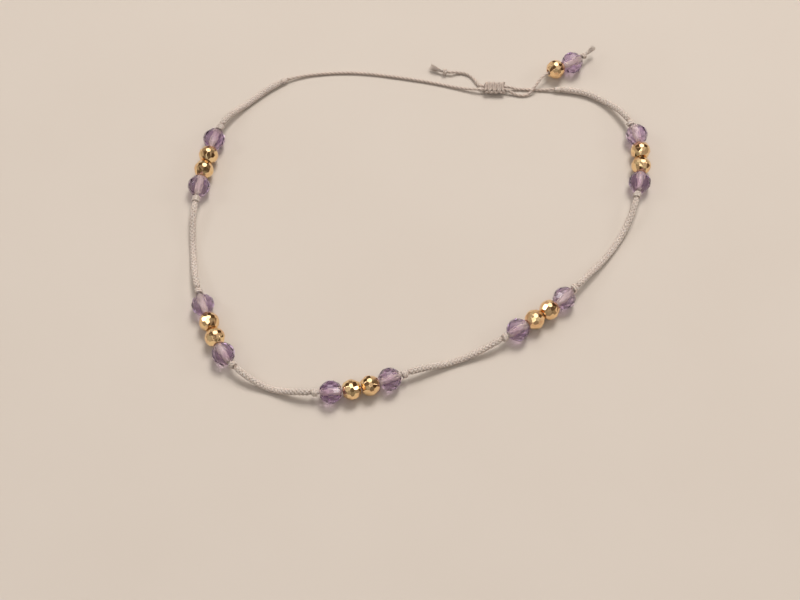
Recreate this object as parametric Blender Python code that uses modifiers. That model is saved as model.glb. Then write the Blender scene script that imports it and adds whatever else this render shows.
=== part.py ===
"""Gemstone bracelet: a loop of waxed cord with five groups of amethyst and gold beads.

The bracelet lies by itself on a flat surface at z = 0, and its origin is the middle of its
footprint.  Every piece sits on one closed route in plan and is placed by its length along the
cord, measured from the middle of the sliding knot.  Units are metres, +Z is up.
"""
import math

import bmesh
import bpy
import numpy as np
from mathutils import Matrix, Vector

MM = 0.001

# Driving sizes of the loop
LOOP_LENGTH = 186.0 * MM
END_CORD_LENGTH = 12.5 * MM
GROUP_PLACES = (0.2678, 0.4136, 0.5435, 0.6872, 0.8490)

# Driving sizes of the beads
AMETHYST_DIAMETER = 3.0 * MM
AMETHYST_LENGTH = 2.85 * MM
AMETHYST_SIDES = 10
GOLD_DIAMETER = 2.7 * MM
GOLD_LENGTH = 2.35 * MM
GOLD_SIDES = 12

# Driving sizes of the cord, the threads and their knots
CORD_DIAMETER = 0.95 * MM
CORE_DIAMETER = 0.5 * MM
THREAD_DIAMETER = 0.45 * MM
KNOT_DIAMETER = 1.3 * MM
KNOT_LENGTH = 1.1 * MM
SLEEVE_LENGTH = 3.2 * MM
SLEEVE_WALL = 0.3 * MM
END_KNOT_DIAMETER = 1.1 * MM
END_KNOT_LENGTH = 1.0 * MM
FRAY_DIAMETER = 1.0 * MM
FRAY_LENGTH = 1.9 * MM

# Clearances
BEAD_GAP = 0.15 * MM
BORE_CLEARANCE = 0.15 * MM
THREADS_GAP = 0.12 * MM
FLOOR_CLEARANCE = 0.05 * MM
CROSSING_GAP = 0.25 * MM

# Lengths over which the cord and the threads come down to the surface
SETTLE_LENGTH = 6.0 * MM
THREAD_SETTLE_LENGTH = 4.0 * MM
THREAD_SPREAD_LENGTH = 6.0 * MM

# Sizes that follow from the ones above
BEAD_HEIGHT = AMETHYST_DIAMETER / 2
CORD_HEIGHT = CORD_DIAMETER / 2 + FLOOR_CLEARANCE
THREAD_HEIGHT = THREAD_DIAMETER / 2 + FLOOR_CLEARANCE
AMETHYST_BORE = CORE_DIAMETER + 2 * BORE_CLEARANCE
GOLD_BORE = CORE_DIAMETER + 2 * BORE_CLEARANCE
SLOT_WIDTH = 2 * THREAD_DIAMETER + THREADS_GAP + 2 * BORE_CLEARANCE
SLOT_HEIGHT = THREAD_DIAMETER + 2 * BORE_CLEARANCE
SLEEVE_WIDTH = SLOT_WIDTH + 2 * SLEEVE_WALL
SLEEVE_HEIGHT = SLOT_HEIGHT + 2 * SLEEVE_WALL
THREAD_OFFSET = (THREAD_DIAMETER + THREADS_GAP) / 2
MOUTH = SLEEVE_LENGTH / 2 + BEAD_GAP
CROSSING_HEIGHT = THREAD_HEIGHT + THREAD_DIAMETER + CROSSING_GAP
END_KNOT_HEIGHT = END_KNOT_DIAMETER / 2 + FLOOR_CLEARANCE

# Places of the pieces of a group, from the group's middle along the cord
GOLD_PLACE = (BEAD_GAP + GOLD_LENGTH) / 2
AMETHYST_PLACE = GOLD_PLACE + (GOLD_LENGTH + AMETHYST_LENGTH) / 2 + BEAD_GAP
KNOT_PLACE = AMETHYST_PLACE + (AMETHYST_LENGTH + KNOT_LENGTH) / 2 + BEAD_GAP
CORE_END = KNOT_PLACE - KNOT_LENGTH / 2 - BEAD_GAP
CORD_START = KNOT_PLACE + KNOT_LENGTH / 2 + BEAD_GAP

# The route of the string of beads in plan, in millimetres, from the sliding knot leftwards
ROUTE_POINTS = (
    (13.7, 34.6), (8.7, 35.0), (3.5, 36.1), (-3.5, 37.3), (-11.0, 37.5), (-16.9, 36.0),
    (-21.6, 32.4), (-25.2, 28.4), (-26.9, 23.6), (-28.1, 18.0), (-28.8, 12.4), (-28.5, 6.8),
    (-27.6, 1.4), (-25.6, -4.3), (-23.2, -9.4), (-19.2, -12.7), (-14.2, -14.3), (-8.8, -14.5),
    (-3.4, -13.4), (1.2, -11.6), (6.4, -9.9), (11.6, -7.8), (16.6, -4.8), (21.4, -1.3),
    (25.2, 2.6), (29.2, 7.4), (32.3, 13.0), (33.9, 19.2), (33.9, 25.4), (31.4, 30.6),
    (26.9, 33.8), (20.5, 34.5),
)

# The free ends past the sliding knot's mouths, in the same plan, each point with its height
LEFT_END_POINTS = (
    (11.3, 35.6, THREAD_HEIGHT), (10.4, 36.9, THREAD_HEIGHT), (8.9, 37.6, THREAD_HEIGHT),
    (7.5, 37.5, END_KNOT_HEIGHT), (6.1, 37.7, END_KNOT_HEIGHT), (4.4, 38.6, END_KNOT_HEIGHT),
)
RIGHT_END_POINTS = (
    (16.9, 33.7, THREAD_HEIGHT), (18.3, 33.6, THREAD_HEIGHT), (19.6, 34.6, CROSSING_HEIGHT),
    (20.8, 36.1, BEAD_HEIGHT), (22.9, 37.4, BEAD_HEIGHT), (25.3, 38.6, BEAD_HEIGHT),
    (27.0, 39.8, BEAD_HEIGHT), (28.6, 41.4, BEAD_HEIGHT),
)

# Rings of cut facets: share of the half length, share of the girdle's radius, half-step turn
AMETHYST_RINGS = ((1.0, 0.50, False), (0.74, 0.82, True), (0.30, 1.0, False))
GOLD_RINGS = ((1.0, 0.62, False), (0.55, 0.90, True), (0.14, 1.0, False))

# Profiles of the knots: share of the half length, share of the radius
KNOT_PROFILE = ((1.0, 0.45), (0.88, 0.80), (0.55, 1.0), (0.18, 0.94), (0.0, 0.86),
                (-0.18, 0.94), (-0.55, 1.0), (-0.88, 0.80), (-1.0, 0.45))
FRAY_SHARES = (0.15, 0.6, 1.0)
SLEEVE_RIDGES = 5
SLEEVE_VALLEY = 0.86
ROUND_SIDES = 12
SLOT_SIDES = 12

# How finely the smooth lines are read
POINTS_PER_SPAN = 40
TUBE_STEP_DIAMETERS = 2.4
THREAD_STATIONS = 12


def clear_scene():
    """Remove every object that the scene starts with."""
    for old in list(bpy.data.objects):
        bpy.data.objects.remove(old, do_unlink=True)


def collection(name):
    """Make a collection in the scene."""
    made = bpy.data.collections.new(name)
    bpy.context.scene.collection.children.link(made)
    return made


def waxed_thread_material(name, colour):
    """Waxed polyester thread: pale, with a soft shine."""
    return principled(name, colour, roughness=0.6, metallic=0.0)


def amethyst_material():
    """Pale amethyst: violet quartz with a glassy cut surface."""
    return principled("amethyst", (0.42, 0.25, 0.52), roughness=0.08, metallic=0.0)


def gold_material():
    """Bright diamond-cut gold plate."""
    return principled("gold", (0.83, 0.55, 0.20), roughness=0.18, metallic=1.0)


def principled(name, colour, roughness, metallic):
    """Make a Principled material from a linear colour, a roughness and a metallic value."""
    made = bpy.data.materials.new(name)
    made.use_nodes = True
    shader = made.node_tree.nodes["Principled BSDF"]
    shader.inputs["Base Color"].default_value = (*colour, 1.0)
    shader.inputs["Roughness"].default_value = roughness
    shader.inputs["Metallic"].default_value = metallic
    return made


def level_slopes(chords):
    """Slopes of the heights at the points of a line, so that it never dips past a point."""
    slopes = np.zeros(len(chords) + 1)
    for i, (before, after) in enumerate(zip(chords, chords[1:]), start=1):
        if before * after > 0:
            slopes[i] = 2 * before * after / (before + after)
    return slopes


def smooth_curve(points, closed):
    """Sample the smooth cubic curve through the points, as an array of positions."""
    knots = np.array(points, dtype=float)
    count = len(knots)
    ring = np.vstack([knots, knots[:1]]) if closed else knots
    spans = np.linalg.norm(np.diff(ring, axis=0), axis=1)
    chords = np.diff(ring, axis=0) / spans[:, None]
    system = np.zeros((count, count))
    sums = np.zeros_like(knots)
    for i in range(count):
        if closed or 0 < i < count - 1:
            before = (i - 1) % len(spans)
            after = i % len(spans)
            system[i, (i - 1) % count] += 1 / spans[before]
            system[i, i] += 2 / spans[before] + 2 / spans[after]
            system[i, (i + 1) % count] += 1 / spans[after]
            sums[i] = 3 * chords[before] / spans[before] + 3 * chords[after] / spans[after]
        else:
            inner = 1 if i == 0 else count - 2
            system[i, i] = 2
            system[i, inner] = 1
            sums[i] = 3 * chords[0 if i == 0 else -1]
    slopes = np.linalg.solve(system, sums)
    if not closed and knots.shape[1] == 3:
        slopes[:, 2] = level_slopes(chords[:, 2])
    samples = []
    share = np.linspace(0, 1, POINTS_PER_SPAN, endpoint=False)[:, None]
    for i, span in enumerate(spans):
        ends = (ring[i], ring[i + 1])
        pulls = (slopes[i] * span, slopes[(i + 1) % count] * span)
        samples.append(
            (2 * share ** 3 - 3 * share ** 2 + 1) * ends[0]
            + (share ** 3 - 2 * share ** 2 + share) * pulls[0]
            + (3 * share ** 2 - 2 * share ** 3) * ends[1]
            + (share ** 3 - share ** 2) * pulls[1]
        )
    samples.append(ring[-1:])
    return np.vstack(samples)


class Route:
    """A smooth line that is read by the length along it."""

    def __init__(self, points, closed=False, length=None):
        samples = smooth_curve(points, closed)
        steps = np.linalg.norm(np.diff(samples, axis=0), axis=1)
        self.scale = 1.0 if length is None else length / steps.sum()
        self.samples = samples * self.scale
        self.places = np.concatenate([[0.0], np.cumsum(steps)]) * self.scale
        self.length = self.places[-1]

    def point(self, place):
        """Position at a length along the line."""
        return np.array([np.interp(place, self.places, axis) for axis in self.samples.T])

    def direction(self, place):
        """Unit direction at a length along the line."""
        reach = self.length / len(self.places)
        low = max(place - reach, 0.0)
        high = min(place + reach, self.length)
        ahead = self.point(high) - self.point(low)
        return ahead / np.linalg.norm(ahead)


def eased(share):
    """Ease from 0 to 1 with level ends."""
    share = min(max(share, 0.0), 1.0)
    return share * share * (3 - 2 * share)


LOOP = Route([(x * MM, y * MM) for x, y in ROUTE_POINTS], closed=True, length=LOOP_LENGTH)
GROUP_MIDDLES = [share * LOOP_LENGTH for share in GROUP_PLACES]
LEFT_CORD_END = GROUP_MIDDLES[0] - CORD_START - END_CORD_LENGTH
RIGHT_CORD_END = GROUP_MIDDLES[-1] + CORD_START + END_CORD_LENGTH


def height_stations():
    """Heights of the cord's axis at places along the loop, eased from each to the next."""
    sleeve = SLEEVE_HEIGHT / 2 + FLOOR_CLEARANCE
    stations = [
        (0.0, sleeve),
        (MOUTH, sleeve),
        (MOUTH + THREAD_SETTLE_LENGTH, THREAD_HEIGHT),
        (LEFT_CORD_END - THREAD_SETTLE_LENGTH, THREAD_HEIGHT),
        (LEFT_CORD_END, CORD_HEIGHT),
        (GROUP_MIDDLES[0] - CORD_START - SETTLE_LENGTH, CORD_HEIGHT),
    ]
    for i, middle in enumerate(GROUP_MIDDLES):
        stations.append((middle - CORD_START, BEAD_HEIGHT))
        stations.append((middle + CORD_START, BEAD_HEIGHT))
        if i + 1 < len(GROUP_MIDDLES):
            stations.append(((middle + GROUP_MIDDLES[i + 1]) / 2, CORD_HEIGHT))
    stations += [
        (GROUP_MIDDLES[-1] + CORD_START + SETTLE_LENGTH, CORD_HEIGHT),
        (RIGHT_CORD_END, CORD_HEIGHT),
        (RIGHT_CORD_END + MOUTH, THREAD_HEIGHT),
        (LOOP_LENGTH - MOUTH - MOUTH, THREAD_HEIGHT),
        (LOOP_LENGTH - MOUTH, sleeve),
        (LOOP_LENGTH, sleeve),
    ]
    return stations


HEIGHTS = height_stations()


def loop_height(place):
    """Height of the cord's axis at a place along the loop."""
    for (low, low_height), (high, high_height) in zip(HEIGHTS, HEIGHTS[1:]):
        if low <= place <= high:
            share = eased((place - low) / (high - low))
            return low_height + (high_height - low_height) * share
    return HEIGHTS[-1][1]


def loop_point(place, offset=0.0):
    """Position on the loop, moved sideways by an offset that points out of the loop."""
    x, y = LOOP.point(place)
    along_x, along_y = LOOP.direction(place)
    return Vector((x + along_y * offset, y - along_x * offset, loop_height(place)))


def loop_turn(place):
    """Rotation that lays a piece's local Z along the loop and keeps its local X upright."""
    along_x, along_y = LOOP.direction(place)
    return level_turn(Vector((along_x, along_y, 0.0)))


def level_turn(along):
    """Rotation that lays local Z along a level direction and keeps local X upright."""
    up = Vector((0.0, 0.0, 1.0))
    along = Vector((along.x, along.y, 0.0)).normalized()
    side = along.cross(up)
    return Matrix((up, side, along)).transposed().to_euler()


def put(made, home, material, parent):
    """Give a new object its collection, its material and its parent."""
    for old in list(made.users_collection):
        old.objects.unlink(made)
    home.objects.link(made)
    if material is not None:
        made.data.materials.clear()
        made.data.materials.append(material)
    made.parent = parent
    return made


def faceted_mesh(name, length, diameter, sides, rings):
    """Cut bead along local Z: the hull of rings of facets, with a flat girdle facet below."""
    shape = bmesh.new()
    corner_radius = diameter / 2 / math.cos(math.pi / sides)
    for end in (1, -1):
        for along, out, turned in rings:
            for i in range(sides):
                angle = 2 * math.pi * (i + (0.0 if turned else 0.5)) / sides
                shape.verts.new((
                    out * corner_radius * math.cos(angle),
                    out * corner_radius * math.sin(angle),
                    end * along * length / 2,
                ))
    hull = bmesh.ops.convex_hull(shape, input=shape.verts)
    bmesh.ops.delete(shape, geom=hull["geom_interior"], context="VERTS")
    bmesh.ops.recalc_face_normals(shape, faces=shape.faces)
    mesh = bpy.data.meshes.new(name)
    shape.to_mesh(mesh)
    shape.free()
    return mesh


def cylinder_cutter(name, home, parent, width, height, length):
    """Oval cutter along local Z, for a bore or a slot."""
    bpy.ops.mesh.primitive_cylinder_add(vertices=SLOT_SIDES, radius=0.5, depth=1.0)
    cutter = put(bpy.context.object, home, None, parent)
    cutter.name = name
    cutter.data.transform(Matrix.Diagonal((height, width, length, 1.0)))
    cutter.hide_render = True
    cutter.display_type = "WIRE"
    return cutter


def cut(target, cutter):
    """Cut the cutter's space out of the target."""
    modifier = target.modifiers.new("bore", "BOOLEAN")
    modifier.operation = "DIFFERENCE"
    modifier.solver = "EXACT"
    modifier.object = cutter


def bead(name, sizes, bore, place, turn, kit):
    """A faceted bead drilled along the thread, at a place and a rotation."""
    made = bpy.data.objects.new(name, faceted_mesh(name, *sizes))
    put(made, kit["pieces"], kit["material"], kit["origin"])
    made.location = place
    made.rotation_euler = turn
    length = sizes[0]
    cutter = cylinder_cutter(name + "_bore", kit["cutters"], kit["origin"], bore, bore, 2 * length)
    cutter.location = place
    cutter.rotation_euler = turn
    cut(made, cutter)
    return made


def turned_piece(name, profile, length, diameter, place, turn, kit):
    """A turned piece along local Z, from a profile of shares that runs from end to end."""
    points = [(0.0, profile[0][0])] + [(out, along) for along, out in profile]
    points.append((0.0, profile[-1][0]))
    mesh = bpy.data.meshes.new(name)
    vertices = [(out * diameter / 2, 0.0, along * length / 2) for out, along in points]
    mesh.from_pydata(vertices, [(i, i + 1) for i in range(len(vertices) - 1)], [])
    made = bpy.data.objects.new(name, mesh)
    put(made, kit["pieces"], kit["material"], kit["origin"])
    screw = made.modifiers.new("turned", "SCREW")
    screw.axis = "Z"
    screw.steps = ROUND_SIDES
    screw.render_steps = ROUND_SIDES
    screw.use_merge_vertices = True
    screw.merge_threshold = 0.00001
    screw.use_smooth_shade = True
    made.location = place
    made.rotation_euler = turn
    return made


def tube(name, points, diameter, kit):
    """A round cord along smooth points, as a curve with filled ends."""
    data = bpy.data.curves.new(name, "CURVE")
    data.dimensions = "3D"
    data.bevel_depth = diameter / 2
    data.bevel_resolution = 2
    data.use_fill_caps = True
    spline = data.splines.new("POLY")
    spline.points.add(len(points) - 1)
    for knot, point in zip(spline.points, points):
        knot.co = (*point, 1.0)
    made = bpy.data.objects.new(name, data)
    return put(made, kit["pieces"], kit["material"], kit["origin"])


def stepped(low, high, diameter):
    """Places from low to high, a few diameters apart."""
    count = max(2, round(abs(high - low) / (TUBE_STEP_DIAMETERS * diameter)) + 1)
    return np.linspace(low, high, count)


def loop_tube(name, low, high, diameter, kit):
    """A cord along a stretch of the loop."""
    points = [loop_point(place) for place in stepped(low, high, diameter)]
    return tube(name, points, diameter, kit)


def bead_group(number, middle, kits):
    """One group: knot, amethyst, gold, gold, amethyst, knot, on the thin core of the cord."""
    amethyst = (AMETHYST_LENGTH, AMETHYST_DIAMETER, AMETHYST_SIDES, AMETHYST_RINGS)
    gold = (GOLD_LENGTH, GOLD_DIAMETER, GOLD_SIDES, GOLD_RINGS)
    for index, side in enumerate((-1, 1), start=1):
        place = middle + side * AMETHYST_PLACE
        bead(f"amethyst_bead_{number}_{index}", amethyst, AMETHYST_BORE,
             loop_point(place), loop_turn(place), kits["amethyst"])
        place = middle + side * GOLD_PLACE
        bead(f"gold_bead_{number}_{index}", gold, GOLD_BORE,
             loop_point(place), loop_turn(place), kits["gold"])
        place = middle + side * KNOT_PLACE
        turned_piece(f"cord_knot_{number}_{index}", KNOT_PROFILE, KNOT_LENGTH, KNOT_DIAMETER,
                     loop_point(place), loop_turn(place), kits["cord"])
    loop_tube(f"bead_thread_{number}", middle - CORE_END, middle + CORE_END, CORE_DIAMETER,
              kits["cord"])


def braided_cords(kit):
    """The thick cord: an end piece at each side and a stretch between each two groups."""
    stretches = [(LEFT_CORD_END, GROUP_MIDDLES[0] - CORD_START)]
    for left, right in zip(GROUP_MIDDLES, GROUP_MIDDLES[1:]):
        stretches.append((left + CORD_START, right - CORD_START))
    stretches.append((GROUP_MIDDLES[-1] + CORD_START, RIGHT_CORD_END))
    for number, (low, high) in enumerate(stretches, start=1):
        loop_tube(f"braided_cord_{number}", low, high, CORD_DIAMETER, kit)


def closing_route(side, cord_end, end_points):
    """The line of one closing thread: along the loop, through the knot, to its free end.

    side is 1 for the thread on the outer side of the sliding knot's slot, -1 for the inner.
    """
    at_knot = 0.0 if cord_end < LOOP_LENGTH / 2 else LOOP_LENGTH
    inward = 1 if at_knot == 0.0 else -1
    near = at_knot + inward * MOUTH
    points = []
    for place in np.linspace(cord_end - inward * BEAD_GAP, near, THREAD_STATIONS):
        spread = eased((THREAD_SPREAD_LENGTH - abs(place - near)) / THREAD_SPREAD_LENGTH)
        points.append(loop_point(place, side * THREAD_OFFSET * spread))
    along = LOOP.direction(0.0)
    middle = loop_point(0.0, side * THREAD_OFFSET)
    run = Vector((along[0], along[1], 0.0)) * MOUTH
    points[-1] = middle + inward * run
    points.append(middle)
    points.append(middle - inward * run)
    for x, y, height in end_points:
        points.append(Vector((x * MM * LOOP.scale, y * MM * LOOP.scale, height)))
    return Route([tuple(point) for point in points])


def route_piece(route, place):
    """Position and level rotation at a place along a closing thread."""
    return Vector(route.point(place)), level_turn(Vector(route.direction(place)))


def end_profile(length):
    """Knot and frayed tip in one profile, as shares of the half length and the knot's radius."""
    knot = [(1 - (1 - along) * END_KNOT_LENGTH / length, out) for along, out in KNOT_PROFILE]
    start = knot[-1][0]
    neck = THREAD_DIAMETER / END_KNOT_DIAMETER
    flare = FRAY_DIAMETER / END_KNOT_DIAMETER
    tip = [(start - (1 + start) * share, neck + (flare - neck) * share) for share in FRAY_SHARES]
    return knot + tip


def free_end(name, route, kit):
    """The knot and frayed tip that end a closing thread; gives the thread's end place."""
    length = END_KNOT_LENGTH + FRAY_LENGTH
    place, turn = route_piece(route, route.length - length / 2)
    turned_piece(name, end_profile(length), length, END_KNOT_DIAMETER, place, flipped(turn), kit)
    return route.length - length - BEAD_GAP


def flipped(turn):
    """The same rotation with local Z the other way, local X still upright."""
    return (turn.to_matrix() @ Matrix.Rotation(math.pi, 3, "X")).to_euler()


def closing_threads(kits):
    """Both closing threads with what is on their free ends."""
    left = closing_route(-1, LEFT_CORD_END, RIGHT_END_POINTS)
    thread_end = free_end("end_knot_right", left, kits["thread"])
    amethyst_place = thread_end - AMETHYST_LENGTH / 2
    gold_place = amethyst_place - (AMETHYST_LENGTH + GOLD_LENGTH) / 2 - BEAD_GAP
    bead("end_amethyst_bead", (AMETHYST_LENGTH, AMETHYST_DIAMETER, AMETHYST_SIDES, AMETHYST_RINGS),
         AMETHYST_BORE, *route_piece(left, amethyst_place), kits["amethyst"])
    bead("end_gold_bead", (GOLD_LENGTH, GOLD_DIAMETER, GOLD_SIDES, GOLD_RINGS),
         GOLD_BORE, *route_piece(left, gold_place), kits["gold"])
    route_tube("closing_thread_left", left, thread_end, kits["thread"])
    right = closing_route(1, RIGHT_CORD_END, LEFT_END_POINTS)
    thread_end = free_end("end_knot_left", right, kits["thread"])
    route_tube("closing_thread_right", right, thread_end, kits["thread"])


def route_tube(name, route, end, kit):
    """A closing thread from its cord to the place where its end knot starts."""
    points = [route.point(place) for place in stepped(0.0, end, THREAD_DIAMETER)]
    return tube(name, points, THREAD_DIAMETER, kit)


def sliding_knot(kit):
    """Oval ridged sleeve with one slot for both closing threads."""
    profile = []
    for i in range(4 * SLEEVE_RIDGES + 1):
        along = 1 - i / (2 * SLEEVE_RIDGES)
        ridge = math.sin(math.pi * SLEEVE_RIDGES * (1 - along) / 2) ** 2
        profile.append((along, SLEEVE_VALLEY + (1 - SLEEVE_VALLEY) * ridge))
    place = loop_point(0.0)
    turn = loop_turn(0.0)
    made = turned_piece("sliding_knot", profile, SLEEVE_LENGTH, SLEEVE_HEIGHT, place, turn, kit)
    made.scale = (1.0, SLEEVE_WIDTH / SLEEVE_HEIGHT, 1.0)
    cutter = cylinder_cutter("sliding_knot_slot", kit["cutters"], kit["origin"],
                             SLOT_WIDTH, SLOT_HEIGHT, 2 * SLEEVE_LENGTH)
    cutter.location = place
    cutter.rotation_euler = turn
    cut(made, cutter)


def centre_on_origin(pieces, origin):
    """Move the whole bracelet so that the middle of its footprint is the origin."""
    bpy.context.view_layer.update()
    graph = bpy.context.evaluated_depsgraph_get()
    low = Vector((math.inf, math.inf))
    high = Vector((-math.inf, -math.inf))
    for made in pieces.objects:
        shape = made.evaluated_get(graph)
        mesh = shape.to_mesh()
        for vertex in mesh.vertices:
            spot = shape.matrix_world @ vertex.co
            low = Vector((min(low.x, spot.x), min(low.y, spot.y)))
            high = Vector((max(high.x, spot.x), max(high.y, spot.y)))
        shape.to_mesh_clear()
    origin.location = (-(low.x + high.x) / 2, -(low.y + high.y) / 2, 0.0)
    bpy.context.view_layer.update()


def main():
    """Build the bracelet."""
    clear_scene()
    pieces = collection("gemstone_bracelet")
    cutters = collection("cutters")
    origin = bpy.data.objects.new("bracelet_origin", None)
    bpy.context.scene.collection.objects.link(origin)
    materials = {
        "cord": waxed_thread_material("waxed_cord", (0.72, 0.62, 0.53)),
        "thread": waxed_thread_material("waxed_thread", (0.55, 0.44, 0.36)),
        "amethyst": amethyst_material(),
        "gold": gold_material(),
    }
    kits = {
        name: {"pieces": pieces, "cutters": cutters, "origin": origin, "material": material}
        for name, material in materials.items()
    }
    for number, middle in enumerate(GROUP_MIDDLES, start=1):
        bead_group(number, middle, kits)
    braided_cords(kits["cord"])
    sliding_knot(kits["thread"])
    closing_threads(kits)
    centre_on_origin(pieces, origin)


main()
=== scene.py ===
"""Looks of the gemstone bracelet: braided waxed cord with amethyst and diamond-cut gold beads.

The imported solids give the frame.  Every piece is placed by its length along the same closed
route as its solid, so each bead, knot and thread lies where the solid lies.  Lengths are in
metres, +Z is up, and the bracelet rests on the floor at z = 0.
"""
from __future__ import annotations

import logging
import math
from dataclasses import dataclass, field
from enum import Enum
from typing import Any, Sequence

import bpy
import numpy as np
from mathutils import Matrix, Vector

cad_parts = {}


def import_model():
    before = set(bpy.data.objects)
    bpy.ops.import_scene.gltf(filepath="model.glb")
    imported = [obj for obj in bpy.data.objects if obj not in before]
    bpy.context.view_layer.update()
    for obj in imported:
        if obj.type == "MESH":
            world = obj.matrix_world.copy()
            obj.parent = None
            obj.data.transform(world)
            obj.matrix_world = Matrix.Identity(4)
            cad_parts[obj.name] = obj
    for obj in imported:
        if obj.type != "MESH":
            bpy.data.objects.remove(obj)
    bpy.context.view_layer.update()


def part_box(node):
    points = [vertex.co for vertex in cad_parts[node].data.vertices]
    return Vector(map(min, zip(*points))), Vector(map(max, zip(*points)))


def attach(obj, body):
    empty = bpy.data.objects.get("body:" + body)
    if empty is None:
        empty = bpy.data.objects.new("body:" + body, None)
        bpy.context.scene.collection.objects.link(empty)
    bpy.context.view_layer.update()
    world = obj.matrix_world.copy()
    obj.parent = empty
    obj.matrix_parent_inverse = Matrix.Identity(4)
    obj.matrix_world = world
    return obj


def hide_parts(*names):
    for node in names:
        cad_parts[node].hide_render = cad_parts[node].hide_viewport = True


MM = 0.001
TURN = 2 * math.pi
UP = np.array([0.0, 0.0, 1.0])
BODY = "root"
LOG = logging.getLogger("gemstone_bracelet")

# The colour inputs of a Mix node, which shares their names with its inputs of other kinds
MIX_LOW, MIX_HIGH = 6, 7
# The values that most of a noise pattern lies between
NOISE_RANGE = {"From Min": 0.3, "From Max": 0.7}
Inputs = dict[str | int, Any]

# The route of the string of beads in plan, in millimetres, from the sliding knot leftwards
ROUTE_POINTS = (
    (13.7, 34.6), (8.7, 35.0), (3.5, 36.1), (-3.5, 37.3), (-11.0, 37.5), (-16.9, 36.0),
    (-21.6, 32.4), (-25.2, 28.4), (-26.9, 23.6), (-28.1, 18.0), (-28.8, 12.4), (-28.5, 6.8),
    (-27.6, 1.4), (-25.6, -4.3), (-23.2, -9.4), (-19.2, -12.7), (-14.2, -14.3), (-8.8, -14.5),
    (-3.4, -13.4), (1.2, -11.6), (6.4, -9.9), (11.6, -7.8), (16.6, -4.8), (21.4, -1.3),
    (25.2, 2.6), (29.2, 7.4), (32.3, 13.0), (33.9, 19.2), (33.9, 25.4), (31.4, 30.6),
    (26.9, 33.8), (20.5, 34.5),
)


class Slot(Enum):
    """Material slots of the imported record."""

    CORD = "waxed_cord"
    THREAD = "waxed_thread"
    AMETHYST = "amethyst"
    GOLD = "gold"


class Side(Enum):
    """Side of the sliding knot's slot that a closing thread runs on."""

    INNER = -1
    OUTER = 1


class Lay(Enum):
    """Way in which a strand winds round its cord."""

    LEFT = -1
    RIGHT = 1


def linear(code: str) -> tuple[float, float, float, float]:
    """Turn an sRGB hex colour into a linear colour.

    Args:
        code: The colour as "#RRGGBB".

    Returns:
        Red, green, blue and alpha in linear light.
    """
    shares = [int(code[i:i + 2], 16) / 255 for i in (1, 3, 5)]
    values = [c / 12.92 if c <= 0.04045 else ((c + 0.055) / 1.055) ** 2.4 for c in shares]
    return (*values, 1.0)


def eased(share: np.ndarray | float) -> np.ndarray:
    """Ease from 0 to 1 with level ends."""
    share = np.clip(share, 0.0, 1.0)
    return share * share * (3 - 2 * share)


def unit(vectors: np.ndarray) -> np.ndarray:
    """Scale each row of an array to length one."""
    return vectors / np.linalg.norm(vectors, axis=-1, keepdims=True)


def across(vectors: np.ndarray, along: np.ndarray) -> np.ndarray:
    """Take out of each vector what runs along a unit direction."""
    return vectors - along * np.sum(vectors * along, axis=-1, keepdims=True)


def lengths_along(points: np.ndarray) -> np.ndarray:
    """Length from the first point of a line to each one."""
    steps = np.linalg.norm(np.diff(points, axis=0), axis=1)
    return np.concatenate([[0.0], np.cumsum(steps)])


def read_line(places: np.ndarray | float, marks: np.ndarray, points: np.ndarray) -> np.ndarray:
    """Positions at some lengths along a line, whose points lie at the marks."""
    return np.stack([np.interp(places, marks, axis) for axis in points.T], -1)


def add_object(name: str, data: bpy.types.ID) -> bpy.types.Object:
    """Put a new object with its mesh, lamp or camera into the scene."""
    made = bpy.data.objects.new(name, data)
    bpy.context.scene.collection.objects.link(made)
    return made


def level_slopes(chords: np.ndarray) -> np.ndarray:
    """Find slopes for the heights of a line, so that it never dips past one of its points.

    Args:
        chords: Rise over length of each span.

    Returns:
        One slope for each point of the line.
    """
    slopes = np.zeros(len(chords) + 1)
    for i, (before, after) in enumerate(zip(chords, chords[1:]), start=1):
        if before * after > 0:
            slopes[i] = 2 * before * after / (before + after)
    return slopes


def smooth_curve(points: Sequence[Sequence[float]], closed: bool) -> np.ndarray:
    """Sample the smooth cubic curve through some points.

    Args:
        points: Points in two or three dimensions.
        closed: Whether the curve joins its last point to its first.

    Returns:
        Positions along the curve, forty to a span.
    """
    samples_per_span = 40
    knots = np.array(points, dtype=float)
    count = len(knots)
    ring = np.vstack([knots, knots[:1]]) if closed else knots
    spans = np.linalg.norm(np.diff(ring, axis=0), axis=1)
    chords = np.diff(ring, axis=0) / spans[:, None]
    system = np.zeros((count, count))
    sums = np.zeros_like(knots)
    for i in range(count):
        if closed or 0 < i < count - 1:
            before = (i - 1) % len(spans)
            after = i % len(spans)
            system[i, (i - 1) % count] += 1 / spans[before]
            system[i, i] += 2 / spans[before] + 2 / spans[after]
            system[i, (i + 1) % count] += 1 / spans[after]
            sums[i] = 3 * chords[before] / spans[before] + 3 * chords[after] / spans[after]
        else:
            system[i, i] = 2
            system[i, 1 if i == 0 else count - 2] = 1
            sums[i] = 3 * chords[0 if i == 0 else -1]
    slopes = np.linalg.solve(system, sums)
    if not closed and knots.shape[1] == 3:
        slopes[:, 2] = level_slopes(chords[:, 2])
    share = np.linspace(0, 1, samples_per_span, endpoint=False)[:, None]
    samples = [
        (2 * share ** 3 - 3 * share ** 2 + 1) * ring[i]
        + (share ** 3 - 2 * share ** 2 + share) * slopes[i] * span
        + (3 * share ** 2 - 2 * share ** 3) * ring[i + 1]
        + (share ** 3 - share ** 2) * slopes[(i + 1) % count] * span
        for i, span in enumerate(spans)
    ]
    return np.vstack([*samples, ring[-1:]])


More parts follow.
